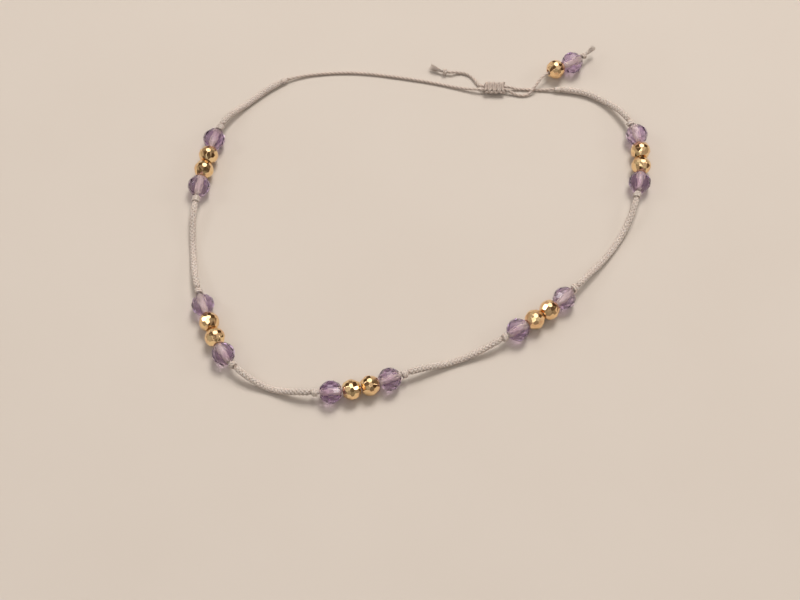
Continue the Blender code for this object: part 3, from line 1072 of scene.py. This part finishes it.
@dataclass
class FacetedBead:
    """A bead ground from a short cylinder: rows of flat facets, flat ends and a drilled bore.

    Attributes:
        diameter: Size across two opposite girdle facets.
        length: Size between the flat ends.
        sides: Facets in each row.
        rows: For each row between girdle and end: its slope from the girdle in degrees, its
            distance from the bead's middle as a share of the girdle's radius, and whether it
            is turned half a step.
        bore: Diameter of the bore.
        edge: Width of the worn edge between two facets.
        waver: How far a facet leans off its true place, in degrees, as ground by hand.
        seed: Seed for that.
    """

    diameter: float
    length: float
    sides: int
    rows: tuple[tuple[float, float, bool], ...]
    bore: float
    edge: float
    waver: float
    seed: int

    # Corners of the drill, its length past the bead's as a share, the countersink's depth as a
    # share of the bore, and how far out and how steep a face of the bore is
    DRILL_CORNERS = 28
    DRILL_LENGTH = 1.3
    SINK = 0.22
    BORE_REACH = 0.75
    BORE_STEEP = 0.9

    def model(self) -> bpy.types.Object:
        """Grind and drill one bead along its own Z.

        Returns:
            The bead, with an attribute "drilled" that is 1 in its bore.
        """
        bpy.ops.object.select_all(action="DESELECT")
        bpy.ops.mesh.primitive_cylinder_add(
            vertices=self.sides,
            radius=self.diameter / 2 / math.cos(math.pi / self.sides),
            depth=self.length,
        )
        bead = bpy.context.object
        bpy.ops.object.mode_set(mode="EDIT")
        bpy.ops.mesh.select_all(action="SELECT")
        # Turns a side of the primitive, not a corner, to face its own X
        to_flat = math.pi / self.sides if self.sides % 4 == 0 else 0.0
        bpy.ops.transform.rotate(
            value=to_flat, orient_axis="Z", center_override=(0.0, 0.0, 0.0)
        )
        self._grind()
        bpy.ops.mesh.select_all(action="SELECT")
        bpy.ops.mesh.remove_doubles(threshold=self.edge / 8)
        bpy.ops.mesh.bevel(offset=self.edge / 2, affect="EDGES", segments=1)
        bpy.ops.mesh.normals_make_consistent(inside=False)
        bpy.ops.object.mode_set(mode="OBJECT")
        self._drill(bead)
        self._mark(bead)
        return bead

    def _grind(self) -> None:
        """Cut every row of facets into the selected mesh in edit mode."""
        chance = np.random.default_rng(self.seed)
        for slope, share, turned in self.rows:
            for end in (1, -1):
                for i in range(self.sides):
                    lean = math.radians(slope + chance.uniform(-self.waver, self.waver))
                    swing = math.radians(chance.uniform(-self.waver, self.waver))
                    angle = TURN * (i + (0.5 if turned else 0.0)) / self.sides + swing
                    out = Vector((
                        math.cos(angle) * math.cos(lean),
                        math.sin(angle) * math.cos(lean),
                        end * math.sin(lean),
                    ))
                    bpy.ops.mesh.select_all(action="SELECT")
                    bpy.ops.mesh.bisect(
                        plane_co=out * self.diameter / 2 * share,
                        plane_no=out,
                        use_fill=True,
                        clear_outer=True,
                    )

    def _drill(self, bead: bpy.types.Object) -> None:
        """Cut the bore, with a small countersink at each end."""
        sink = self.bore * self.SINK
        bpy.ops.mesh.primitive_cylinder_add(
            vertices=self.DRILL_CORNERS,
            radius=self.bore / 2,
            depth=self.length * self.DRILL_LENGTH,
        )
        cutters = [bpy.context.object]
        for end in (1, -1):
            bpy.ops.mesh.primitive_cone_add(
                vertices=self.DRILL_CORNERS,
                radius1=self.bore / 2 - sink,
                radius2=self.bore / 2 + sink,
                depth=2 * sink,
                location=(0.0, 0.0, end * self.length / 2),
                rotation=(0.0 if end > 0 else math.pi, 0.0, 0.0),
            )
            cutters.append(bpy.context.object)
        bpy.ops.object.select_all(action="DESELECT")
        bead.select_set(True)
        bpy.context.view_layer.objects.active = bead
        for cutter in cutters:
            modifier = bead.modifiers.new("bore", "BOOLEAN")
            modifier.operation = "DIFFERENCE"
            modifier.solver = "EXACT"
            modifier.object = cutter
            bpy.ops.object.modifier_apply(modifier=modifier.name)
            bpy.data.objects.remove(cutter, do_unlink=True)

    def _mark(self, bead: bpy.types.Object) -> None:
        """Write the attribute "drilled" on the bead's faces."""
        reach = self.bore * self.BORE_REACH
        values = [
            float(face.center.xy.length < reach and abs(face.normal.z) < self.BORE_STEEP)
            for face in bead.data.polygons
        ]
        layer = bead.data.attributes.new("drilled", "FLOAT", "FACE")
        layer.data.foreach_set("value", values)

    def place(
        self, model: bpy.types.Object, name: str, frame: Matrix, steps: float
    ) -> bpy.types.Object:
        """Copy the model to its place on the thread.

        Args:
            model: The bead to copy.
            name: The copy's name.
            frame: Placement of the copy.
            steps: How many facets the copy is turned round its bore; odd ones are strung the
                other way round.

        Returns:
            The copy, with its own mesh.
        """
        mesh = model.data.copy()
        mesh.name = name
        turn = Matrix.Rotation(TURN * steps / self.sides, 4, "Z")
        flip = Matrix.Rotation(math.pi * (int(steps) % 2), 4, "X")
        mesh.transform(frame @ turn @ flip)
        mesh.update()
        return add_object(name, mesh)


@dataclass
class Beads:
    """The amethyst and gold beads of the five groups and of the free end.

    Attributes:
        layout: Where everything lies.
        stone: Material of the amethysts.
        gold: Material of the gold beads.
    """

    layout: Layout
    stone: bpy.types.Material
    gold: bpy.types.Material

    # How far a bead is turned round its bore, in facets: for each group on from the last, for
    # the second bead of a group, and on the free end.  The gold beads are turned further.
    GROUP_TURN, SECOND_TURN, END_TURN = 3, 2, 5
    GOLD_TURN = 1.37

    def build(self) -> None:
        """Model both beads once and place all their copies."""
        layout = self.layout
        tail = layout.closing_route(Side.INNER)
        _, _, stone_end, gold_end = layout.tail_places(tail)
        amethyst_cut = FacetedBead(
            layout.amethyst_diameter, layout.amethyst_length, sides=12,
            rows=((30.0, 0.99, True), (50.0, 1.0, False), (66.0, 1.015, True)),
            bore=0.64 * MM, edge=0.03 * MM, waver=1.2, seed=7,
        )
        gold_cut = FacetedBead(
            layout.gold_diameter, layout.gold_length, sides=14,
            rows=((25.0, 0.985, True), (45.0, 0.985, False), (63.0, 0.985, True)),
            bore=0.8 * MM, edge=0.025 * MM, waver=2.5, seed=11,
        )
        for word, cut, reach, end, step, material, slot in (
            ("amethyst", amethyst_cut, layout.amethyst_place, stone_end, 1.0, self.stone,
             Slot.AMETHYST),
            ("gold", gold_cut, layout.gold_place, gold_end, self.GOLD_TURN, self.gold, Slot.GOLD),
        ):
            model = cut.model()
            for number, middle in enumerate(layout.middles, start=1):
                for index, side in enumerate((-1, 1), start=1):
                    frame = layout.loop_frame(middle + side * reach)
                    steps = step * (self.GROUP_TURN * number + self.SECOND_TURN * index)
                    piece = cut.place(model, f"cut_{word}_{number}_{index}", frame, steps)
                    hand_in(piece, material, f"{word}_bead_{number}_{index}")
            frame = laid(tail.at(end), tail.heading(end))
            piece = cut.place(model, f"cut_{word}_end", frame, self.END_TURN)
            hand_in(piece, material, f"end_{word}_bead")
            bpy.data.objects.remove(model, do_unlink=True)


@dataclass
class ThreadWork:
    """Pieces of waxed thread.

    Attributes:
        layout: Where everything lies.
        material: What the pieces are made of.
    """

    layout: Layout
    material: bpy.types.Material

    SLOT = Slot.THREAD

    def hand_in(self, skein: Skein, name: str, node: str) -> None:
        """Make a skein the piece that stands for a solid."""
        hand_in(skein.to_object(name), self.material, node)


@dataclass
class BraidedCords(ThreadWork):
    """The thick cord: eight waxed threads braided round a core, in six stretches.

    Attributes:
        strands: How many strands wind each way.
        pitch: Length in which a strand goes once round the cord.
        rise: How far a strand moves out over a crossing and in under it.
        dwell: How much longer a strand stays on the outside than inside, as a share.
        tuck: How far a stretch runs on inside the knot at its end.
        waist: Size of the braid at a knot, as a share.
        waist_length: Length over which it comes to its full size.
        taper: Length over which the braid narrows to a closing thread.
        tip: Size of its end there, as a share.
        bind: Where the binding round that taper starts and ends, from the braid's end.
        bind_stations: How many stations the binding has.
        bind_lift: How far it stands off the strands, as a share of its height.
        step: Distance between stations.
        drift: How far the braid's columns turn round the cord, as an angle for each metre.
        yarn: One strand.
        core: The filling that the strands lie round.
        binding: The thread that is bound round the taper.
    """

    strands: int = 4
    pitch: float = 2.1 * MM
    rise: float = 0.035 * MM
    dwell: float = 0.45
    tuck: float = 0.3 * MM
    waist: float = 0.62
    waist_length: float = 0.7 * MM
    taper: float = 1.9 * MM
    tip: float = 0.5
    bind: tuple[float, float] = (0.12 * MM, 0.8 * MM)
    bind_stations: int = 110
    bind_lift: float = 0.3
    step: float = 0.06 * MM
    drift: float = math.radians(3.0) / MM
    yarn: Yarn = Yarn(
        width=0.31 * MM, height=0.22 * MM, plies=2, groove=0.04, lay=1.0 * MM, corners=8
    )
    core: Yarn = Yarn(width=0.6 * MM, height=0.6 * MM, corners=12)
    binding: Yarn = Yarn(width=0.155 * MM, height=0.14 * MM, corners=8)

    SLOT = Slot.CORD

    def build(self) -> None:
        """Braid every stretch."""
        layout = self.layout
        reach = layout.cord_start - self.tuck
        left, right = layout.cord_ends
        starts = [left] + [middle + reach for middle in layout.middles]
        ends = [middle - reach for middle in layout.middles] + [right]
        for number, (low, high) in enumerate(zip(starts, ends), start=1):
            guide = layout.loop_guide(low, high, self.step)
            lengths = guide.lengths()
            inside = np.minimum(lengths, lengths[-1] - lengths)
            narrow = self.waist + (1 - self.waist) * eased(inside / self.waist_length)
            skein = Skein()
            if number in (1, len(starts)):
                past = lengths if number == 1 else lengths[-1] - lengths
                tapered = self.tip + (1 - self.tip) * eased(past / self.taper)
                narrow = np.minimum(np.where(past < self.taper, 1.0, narrow), tapered)
                self._bind(skein, guide, past, narrow)
            self._braid(skein, guide, narrow, number)
            self.hand_in(skein, f"braid_{number}", f"braided_cord_{number}")

    def _bind(self, skein: Skein, guide: Guide, past: np.ndarray, narrow: np.ndarray) -> None:
        """Wind a fine thread round the narrowed end of a stretch.

        Args:
            skein: Where the thread goes.
            guide: The stretch's middle line.
            past: Length from the braid's end at each station.
            narrow: Size of the braid at each station, as a share.
        """
        low, high = self.bind
        even = np.linspace(low, high, self.bind_stations)
        order = np.argsort(past)
        line = Guide.level(read_line(even, past[order], guide.points[order]))
        size = np.interp(even, past[order], narrow[order])
        turned = TURN * (even - low) / self.binding.width
        lift = self.binding.height * self.bind_lift
        skein.add(line.wound(turned, size * self.layout.cord_diameter / 2 + lift), self.binding)

    def _braid(self, skein: Skein, guide: Guide, narrow: np.ndarray, number: int) -> None:
        """Wind the strands of one stretch round its core.

        Args:
            skein: Where the strands go.
            guide: The stretch's middle line.
            narrow: Size of the braid at each station, as a share.
            number: Number of the stretch, which turns its columns a little.
        """
        lengths = guide.lengths()
        run = TURN * lengths / self.pitch
        lean = self.drift * lengths + number
        outer = self.layout.cord_diameter / 2
        middle = outer - self.rise - self.yarn.height / 2
        slow = self.dwell / self.strands
        # Where the braid narrows, its strands thin by half as much and lie closer
        thin = (1 + narrow) / 2
        for lay in Lay:
            over = lay.value * np.cos(self.strands * run)
            radius = (middle + self.rise * over) * narrow
            turned = lay.value * run - slow * np.sin(self.strands * run)
            for i in range(self.strands):
                strand = guide.wound(turned + TURN * i / self.strands + lean, radius)
                skein.add(
                    strand, self.yarn, thin, guide.points, outer, phase=i + 2.0 * lay.value
                )
        skein.add(guide, self.core, narrow, guide.points, outer)


@dataclass
class BeadThreads(ThreadWork):
    """The core that the beads of each group are strung on: three thin twisted strands."""

    step: float = 0.08 * MM
    yarn: Yarn = Yarn(
        width=0.5 * MM, height=0.5 * MM, plies=3, groove=0.11, lay=1.5 * MM, corners=18
    )

    SLOT = Slot.CORD

    def build(self) -> None:
        """Twist the core of every group."""
        reach = self.layout.knot_place
        for number, middle in enumerate(self.layout.middles, start=1):
            skein = Skein()
            guide = self.layout.loop_guide(middle - reach, middle + reach, self.step)
            skein.add(guide, self.yarn)
            self.hand_in(skein, f"bead_core_{number}", f"bead_thread_{number}")


@dataclass
class TightKnot:
    """An overhand knot pulled tight: the thread winds round itself and crosses its own turns.

    Attributes:
        length: Size of the knot along the thread.
        diameter: Size of the knot across the thread.
        threads: How many threads lie side by side in it.
        yarn: One of those threads.
    """

    length: float
    diameter: float
    threads: int
    yarn: Yarn

    # Turn round the axis, share of the winding radius, share of the half length
    PATH = (
        (-0.35, 0.10, -1.05), (-0.10, 0.55, -0.78), (0.15, 0.92, -0.52), (0.40, 0.98, -0.40),
        (0.65, 0.98, -0.22), (0.90, 0.98, 0.02), (1.15, 0.98, 0.26), (1.40, 0.97, 0.44),
        (1.60, 1.10, 0.38), (1.78, 1.28, 0.10), (1.96, 1.28, -0.18), (2.14, 1.05, -0.42),
        (2.32, 0.70, -0.50), (2.48, 0.25, -0.30), (2.60, 0.05, 0.30), (2.70, 0.03, 1.05),
    )
    WIDEST = max(out for _, out, _ in PATH)
    # Distance between threads side by side, as a share of their width; turn of the plies from
    # one to the next; and the distance from the axis where the painted shade ends, by the diameter
    SPACING = 0.92
    PLY_TURN = 1.7
    PAINTED_SHADE_REACH = 0.42

    def wind(self, skein: Skein, frame: Matrix, turn: float) -> None:
        """Wind the knot round local Z.

        Args:
            skein: Where its threads go.
            frame: Placement of the knot.
            turn: Angle of the knot round its axis.
        """
        winding = (self.diameter - self.yarn.height) / 2 / self.WIDEST
        middle = np.array(frame.translation)
        axis = np.array(frame.to_3x3() @ Vector(UP))
        for thread in range(self.threads):
            aside = (thread - (self.threads - 1) / 2) * self.yarn.width * self.SPACING
            room = (self.length - self.yarn.width - abs(aside)) / 2
            points = []
            for turned, out, along in self.PATH:
                angle = TURN * turned + turn
                points.append(frame @ Vector((
                    winding * out * math.cos(angle),
                    winding * out * math.sin(angle),
                    along * room + aside * min(1.0, out),
                )))
            line = tight_curve(points)
            core = middle + axis * ((line - middle) @ axis)[:, None]
            skein.add(
                Guide.facing(line, core), self.yarn, 1.0, core, self.diameter * self.PAINTED_SHADE_REACH,
                phase=self.PLY_TURN * thread,
            )


@dataclass
class CordKnots(ThreadWork):
    """The ten small knots that hold the groups of beads in place."""

    yarn: Yarn = Yarn(
        width=0.32 * MM, height=0.28 * MM, plies=2, groove=0.08, lay=0.9 * MM, corners=12
    )
    seed: int = 23

    SLOT = Slot.CORD

    def build(self) -> None:
        """Tie every knot."""
        layout = self.layout
        chance = np.random.default_rng(self.seed)
        knot = TightKnot(layout.knot_length, layout.knot_diameter, 2, self.yarn)
        for number, middle in enumerate(layout.middles, start=1):
            for index, side in enumerate((-1, 1), start=1):
                frame = layout.loop_frame(middle + side * layout.knot_place)
                if side > 0:
                    frame = frame @ Matrix.Rotation(math.pi, 4, "X")
                skein = Skein()
                knot.wind(skein, frame, chance.uniform(0.0, TURN))
                self.hand_in(skein, f"tight_knot_{number}_{index}", f"cord_knot_{number}_{index}")


@dataclass
class ClosingThreads(ThreadWork):
    """The two closing threads, each two plies twisted together, a little wavy from handling.

    Attributes:
        tuck: How far a thread starts inside the braid that it comes from.
        wave: How far it strays from its line.
        wave_reach: Length in which its waves turn by one radian.
        step: Distance between stations.
        yarn: The thread.
    """

    tuck: float = 0.5 * MM
    wave: float = 0.035 * MM
    wave_reach: float = 1.9 * MM
    step: float = 0.08 * MM
    yarn: Yarn = Yarn(
        width=0.45 * MM, height=0.45 * MM, plies=2, groove=0.14, lay=1.25 * MM, corners=14
    )

    def build(self) -> None:
        """Twist both threads."""
        for side, word in ((Side.INNER, "left"), (Side.OUTER, "right")):
            route = self.layout.closing_route(side)
            end = self.layout.tail_places(route)[0] + self.layout.bead_gap
            points = route.at(np.linspace(0.0, end, round(end / self.step)))
            start = points[0] - unit(points[1] - points[0]) * self.tuck
            guide = Guide.level(np.vstack([start, points]))
            stray = self.wave * np.sin(guide.lengths() / self.wave_reach + side.value)
            skein = Skein()
            skein.add(Guide.level(guide.points + guide.side * stray[:, None]), self.yarn)
            self.hand_in(skein, f"twisted_thread_{word}", f"closing_thread_{word}")


@dataclass
class SlidingKnot(ThreadWork):
    """The sliding knot: square knots of one thread pair tied round both closing threads.

    Attributes:
        crossings: How many half knots it has.
        yarn: The tying thread.
        filling: The inside of the knot, pressed flat round both closing threads.
        filling_share: Half of its length, as a share of the knot's length.
        filling_stations: How many stations it has.
    """

    crossings: int = 8
    yarn: Yarn = Yarn(
        width=0.46 * MM, height=0.34 * MM, plies=2, groove=0.1, lay=1.2 * MM, corners=12
    )
    filling: Yarn = Yarn(width=0.8 * MM, height=1.4 * MM, corners=24)
    filling_share: float = 0.36
    filling_stations: int = 9

    # Across, height and length of the front thread and the back thread in one half knot, as
    # shares of half the width, half the height and the half knot's length
    FRONT = ((-1.0, 0.0, -0.05), (-0.8, 0.72, 0.3), (0.0, 1.0, 0.48), (0.78, 0.74, 0.66))
    BACK = ((1.1, 0.3, 0.0), (0.8, -0.6, 0.3), (0.0, -1.0, 0.5), (-0.8, -0.6, 0.7))

    def build(self) -> None:
        """Tie the knot."""
        layout = self.layout
        middle = layout.loop_points(0.0)
        ahead = np.append(layout.loop.heading(0.0), 0.0)
        half_width = (layout.sleeve_width - self.yarn.height) / 2
        half_height = (layout.sleeve_height - self.yarn.height) / 2
        across_half = np.array([ahead[1], -ahead[0], 0.0]) * half_width
        pitch = (layout.sleeve_length - self.yarn.width) / self.crossings
        skein = Skein()
        for path in (self.FRONT, self.BACK):
            points = [
                middle + across_half * (x if crossing % 2 == 0 else -x) + UP * z * half_height
                + ahead * (crossing + y - self.crossings / 2) * pitch
                for crossing in range(self.crossings) for x, z, y in path
            ]
            line = tight_curve(points, stations=8)
            core = middle + ahead * ((line - middle) @ ahead)[:, None]
            skein.add(Guide.facing(line, core), self.yarn, 1.0, core, layout.sleeve_width / 2)
        reach = layout.sleeve_length * self.filling_share
        ends = middle + ahead * np.linspace(-reach, reach, self.filling_stations)[:, None]
        skein.add(Guide.level(ends), self.filling, 1.0, ends, layout.sleeve_width / 2)
        self.hand_in(skein, "square_knot_slider", "sliding_knot")


@dataclass
class EndKnots(ThreadWork):
    """The knots on the free ends, each with the thread's frayed tip past it.

    Attributes:
        yarn: The knotted thread.
        turn: Angle of the knot round its axis.
        fibre: One of the fibre bundles of the tip.
        fibres: How many of them there are.
        root: Where they leave the knot, from its middle, as a share of its length.
        shortest: Length of the shortest one, as a share of the longest.
        bunched: How close they start together, as a share of how far apart they end.
        flare: Power by which they spread.
        thinning: How much thinner they end, as a share.
        scatter: Largest angle by which one is off its even place round the tip.
        curl: Largest angle that one turns round the tip.
        stations: How many stations each has.
        seed: Seed for their small differences.
    """

    yarn: Yarn = Yarn(
        width=0.38 * MM, height=0.34 * MM, plies=2, groove=0.1, lay=1.1 * MM, corners=12
    )
    turn: float = math.radians(-100.0)
    fibre: Yarn = Yarn(width=0.055 * MM, height=0.055 * MM, corners=6)
    fibres: int = 60
    root: float = 0.3
    shortest: float = 0.72
    bunched: float = 0.3
    flare: float = 1.25
    thinning: float = 0.4
    scatter: float = 0.3
    curl: float = 0.9
    stations: int = 9
    seed: int = 5

    # The share of a turn from each fibre to the next that spreads them most evenly
    GOLDEN_SHARE = 0.381966

    def build(self) -> None:
        """Tie both end knots and fray their tips."""
        layout = self.layout
        chance = np.random.default_rng(self.seed)
        knot = TightKnot(layout.end_knot_length, layout.end_knot_diameter, 1, self.yarn)
        for side, word in ((Side.INNER, "right"), (Side.OUTER, "left")):
            route = layout.closing_route(side)
            middle = layout.tail_places(route)[1]
            skein = Skein()
            knot.wind(skein, laid(route.at(middle), route.heading(middle)), self.turn)
            self._fray(skein, route, middle + layout.end_knot_length * self.root, chance)
            self.hand_in(skein, f"frayed_knot_{word}", f"end_knot_{word}")

    def _fray(
        self, skein: Skein, route: Route, start: float, chance: np.random.Generator
    ) -> None:
        """Spread the fibres of one tip.

        Args:
            skein: Where the fibres go.
            route: The thread's line.
            start: Place where they leave the knot.
            chance: Source of small differences.
        """
        spread = (self.layout.fray_diameter - self.fibre.width) / 2
        share = np.linspace(0.0, 1.0, self.stations)
        for i in range(self.fibres):
            reach = (route.length - start) * chance.uniform(self.shortest, 1.0)
            angle = TURN * i * self.GOLDEN_SHARE + chance.uniform(-self.scatter, self.scatter)
            turned = angle + chance.uniform(-self.curl, self.curl) * share
            out = spread * math.sqrt((i + 0.5) / self.fibres)
            radius = out * (self.bunched * (1 - share) + share ** self.flare)
            strand = Guide.level(route.at(start + reach * share)).wound(turned, radius)
            skein.add(strand, self.fibre, 1 - self.thinning * share)


@dataclass(frozen=True)
class Stand:
    """Where a lamp or the camera stands, facing a point.

    Attributes:
        azimuth: Direction from the point, in degrees from +Y towards +X.
        elevation: Angle above the floor, in degrees.
        distance: Distance from the point.
    """

    azimuth: float
    elevation: float
    distance: float

    def put(self, name: str, data: bpy.types.ID, target: Vector) -> bpy.types.Object:
        """Put a lamp or camera there.

        Args:
            name: The object's name.
            data: The lamp or camera.
            target: The point that it faces.

        Returns:
            The object.
        """
        turn, rise = math.radians(self.azimuth), math.radians(self.elevation)
        away = Vector((
            math.sin(turn) * math.cos(rise), math.cos(turn) * math.cos(rise), math.sin(rise)
        ))
        made = add_object(name, data)
        made.location = target + away * self.distance
        made.rotation_euler = (-away).to_track_quat("-Z", "Y").to_euler()
        return made


@dataclass(frozen=True)
class SoftBox:
    """A soft light: where it stands, its size, power and colour.

    A lamp that is not mirrored lights the pieces but leaves no white spot in a polished one.
    """

    name: str
    stand: Stand
    size: float
    power: float
    colour: str
    mirrored: bool = True

    def build(self, target: Vector) -> None:
        """Set the light up, facing a point.

        Args:
            target: The point.
        """
        lamp = bpy.data.lights.new(self.name, "AREA")
        lamp.shape = "SQUARE"
        lamp.size = self.size
        lamp.energy = self.power
        lamp.color = linear(self.colour)[:3]
        self.stand.put(self.name, lamp, target).visible_glossy = self.mirrored


@dataclass
class Studio:
    """Floor, lights and camera.

    Attributes:
        target: The point that the camera and the lights face.
        view: Where the camera stands.
        focal: Focal length in pixels of the photograph's frame.
        frame_width: Width of that frame in pixels.
        sensor: Sensor width in millimetres.
        floor_size: Width of the floor.
        lights: The soft boxes.
        room: Colours of the room below and above.
        panels: Colours of the gaps and panels on its walls, which polished facets mirror.
        panel_scale: How finely the walls are divided.
        glow: Brightness of the room.
    """

    target: Vector
    view: Stand = Stand(180.0, 62.0, 230.0 * MM)
    focal: float = 1690.0
    frame_width: float = 800.0
    sensor: float = 36.0
    floor_size: float = 4.0
    lights: tuple[SoftBox, ...] = (
        SoftBox("key_light", Stand(18.0, 59.0, 1.00), 0.36, 5.9, "#FFF9F2", mirrored=False),
        SoftBox("reflected_card", Stand(18.0, 59.0, 0.90), 0.50, 1.5, "#FFFBF5"),
        SoftBox("strip_left", Stand(285.0, 38.0, 1.10), 0.26, 1.2, "#FFFFFF"),
        SoftBox("strip_right", Stand(80.0, 30.0, 1.10), 0.26, 1.2, "#FFFAF4"),
        SoftBox("fill_light", Stand(200.0, 58.0, 1.20), 0.50, 1.43, "#FFFBF7"),
    )
    room: tuple[str, str] = ("#B8AEA4", "#FBF8F4")
    panels: tuple[str, str] = ("#675648", "#FFFCF9")
    panel_scale: float = 2.6
    glow: float = 0.92

    def camera(self) -> None:
        """Put the camera at the photograph's angle and distance."""
        data = bpy.data.cameras.new("camera")
        data.sensor_width = self.sensor
        data.lens = self.focal / self.frame_width * self.sensor
        data.clip_start = 0.01
        data.clip_end = 10.0
        bpy.context.scene.camera = self.view.put("camera", data, self.target)

    def floor(self) -> None:
        """Lay the plain floor."""
        bpy.ops.object.select_all(action="DESELECT")
        bpy.ops.mesh.primitive_plane_add(size=self.floor_size)
        made = bpy.context.object
        made.name = "floor"
        made.data.materials.append(MattePaper().build())

    def light(self) -> None:
        """Set up the soft boxes and a pale room, brighter above and darker behind the camera."""
        for box in self.lights:
            box.build(self.target)
        world = bpy.data.worlds.new("studio")
        bpy.context.scene.world = world
        nodes = Nodes(world)
        view = nodes.coordinates["Generated"]
        way = nodes.add("SeparateXYZ", {0: view}).outputs
        height = nodes.add(
            "MapRange", {"Value": way["Z"], "From Min": -0.05, "From Max": 0.9},
            interpolation_type="SMOOTHSTEP",
        )
        front = nodes.add(
            "MapRange",
            {"Value": way["Y"], "From Min": -0.9, "From Max": 0.5, "To Min": 0.5, "To Max": 1.0},
            interpolation_type="SMOOTHSTEP",
        )
        patches = nodes.add(
            "TexNoise", {"Vector": view, "Scale": self.panel_scale, "Detail": 1.0}
        )
        split = nodes.add(
            "MapRange", {"Value": patches, "From Min": 0.46, "From Max": 0.54},
            interpolation_type="SMOOTHSTEP",
        )
        shade, walls = (
            nodes.add(
                "Mix", {"Factor": factor, MIX_LOW: linear(low), MIX_HIGH: linear(high)},
                data_type="RGBA",
            )
            for factor, (low, high) in ((height, self.room), (split, self.panels))
        )
        room = nodes.add(
            "Mix", {"Factor": 1.0, MIX_LOW: shade, MIX_HIGH: walls},
            data_type="RGBA", blend_type="MULTIPLY",
        )
        dimmed = nodes.add("VectorMath", {0: room, "Scale": front}, operation="SCALE")
        nodes.feed(nodes.tree.nodes["Background"], {"Color": dimmed, "Strength": self.glow})
        bpy.context.scene.view_settings.view_transform = "Standard"


def main() -> None:
    """Dress the bracelet and set the studio up."""
    logging.basicConfig(level=logging.INFO, format="%(message)s")
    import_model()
    layout = Layout()
    studio = Studio(Vector(layout.shift))
    studio.camera()
    # Each cord's first colour is its own; the second is the painted shade in its grooves and deep
    # in the cord
    cord = WaxedPolyester("waxed_braided_polyester", "#E4D8CF", "#AB978B").build()
    thread = WaxedPolyester(
        "waxed_twisted_polyester", "#D2C4BA", "#8E7B70", filaments=10.0, lean=0.9
    ).build()
    BraidedCords(layout, cord).build()
    CordKnots(layout, cord).build()
    BeadThreads(layout, cord).build()
    ClosingThreads(layout, thread).build()
    SlidingKnot(layout, thread).build()
    EndKnots(layout, thread).build()
    Beads(layout, Amethyst().build(), DiamondCutGold().build()).build()
    studio.floor()
    studio.light()


if __name__ == "__main__":
    main()
